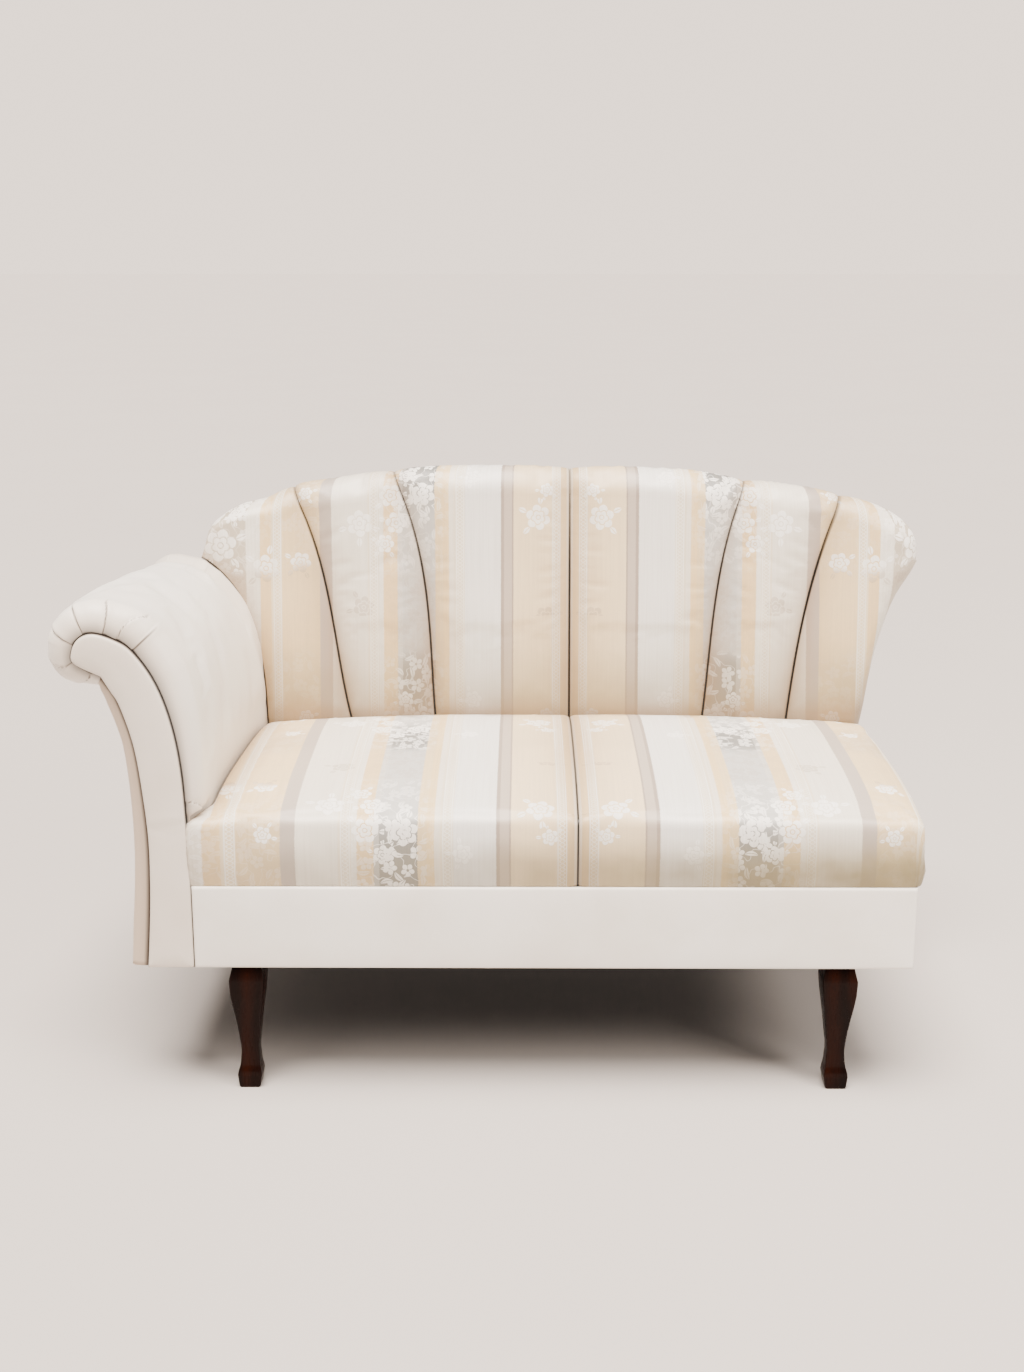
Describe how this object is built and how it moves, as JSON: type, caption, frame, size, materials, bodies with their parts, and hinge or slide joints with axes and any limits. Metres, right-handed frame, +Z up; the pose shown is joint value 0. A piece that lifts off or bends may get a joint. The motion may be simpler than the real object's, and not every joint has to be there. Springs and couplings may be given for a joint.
{
  "type": "fainting couch",
  "caption": "Upholstered settee with a channelled fan back, one scroll arm, an open end and square cabriole legs.",
  "frame": {"origin": "on the floor, under the middle of the couch's overall width and depth", "axes": "+X along the seat, away from the scroll arm; +Y towards the back; +Z up"},
  "size_m": [1.422, 0.7104, 0.8961],
  "materials": {
    "hide": "satin",
    "damask": "satin",
    "mahogany": "gloss",
    "beech": "matte",
    "ply": "matte",
    "foam": "matte",
    "jute": "matte",
    "cambric": "matte",
    "steel": "satin",
    "brass": "satin"
  },
  "bodies": {
    "root": {"leg_front_left": "mahogany", "leg_front_right": "mahogany", "leg_rear_left": "mahogany", "leg_rear_right": "mahogany", "leg_bolt_front_left": "steel", "leg_bolt_front_right": "steel", "leg_bolt_rear_left": "steel", "leg_bolt_rear_right": "steel", "leg_insert_front_left": "brass", "leg_insert_front_right": "brass", "leg_insert_rear_left": "brass", "leg_insert_rear_right": "brass", "front_rail": "beech", "rear_rail": "beech", "right_rail": "beech", "centre_rail": "beech", "left_rail": "beech", "corner_block_front_left": "beech", "corner_block_front_right": "beech", "corner_block_rear_left": "beech", "corner_block_rear_right": "beech", "dust_cover": "cambric", "front_border": "hide", "right_border": "hide", "spring_1": "steel", "spring_2": "steel", "spring_3": "steel", "spring_4": "steel", "spring_5": "steel", "spring_6": "steel", "tie_wire_front": "steel", "tie_wire_rear": "steel", "seat_hessian": "jute", "seat_cover": "damask", "seat_foam": "foam", "arm_cover": "hide", "arm_foam": "foam", "arm_inside_board": "ply", "arm_facing": "hide", "arm_front_post": "beech", "arm_rear_post": "beech", "arm_top_rail": "beech", "arm_stuffing_rail": "beech", "arm_outside_panel": "hide", "arm_rear_panel": "hide", "back_channel_1": "damask", "back_channel_2": "damask", "back_channel_3": "damask", "back_channel_4": "damask", "back_channel_5": "damask", "back_channel_6": "damask", "back_crest_rail": "beech", "back_post_left": "beech", "back_post_right": "beech", "back_middle_post_left": "beech", "back_middle_post_right": "beech", "back_bottom_rail": "beech", "back_board": "ply", "outside_back": "hide"}
  },
  "joints": []
}
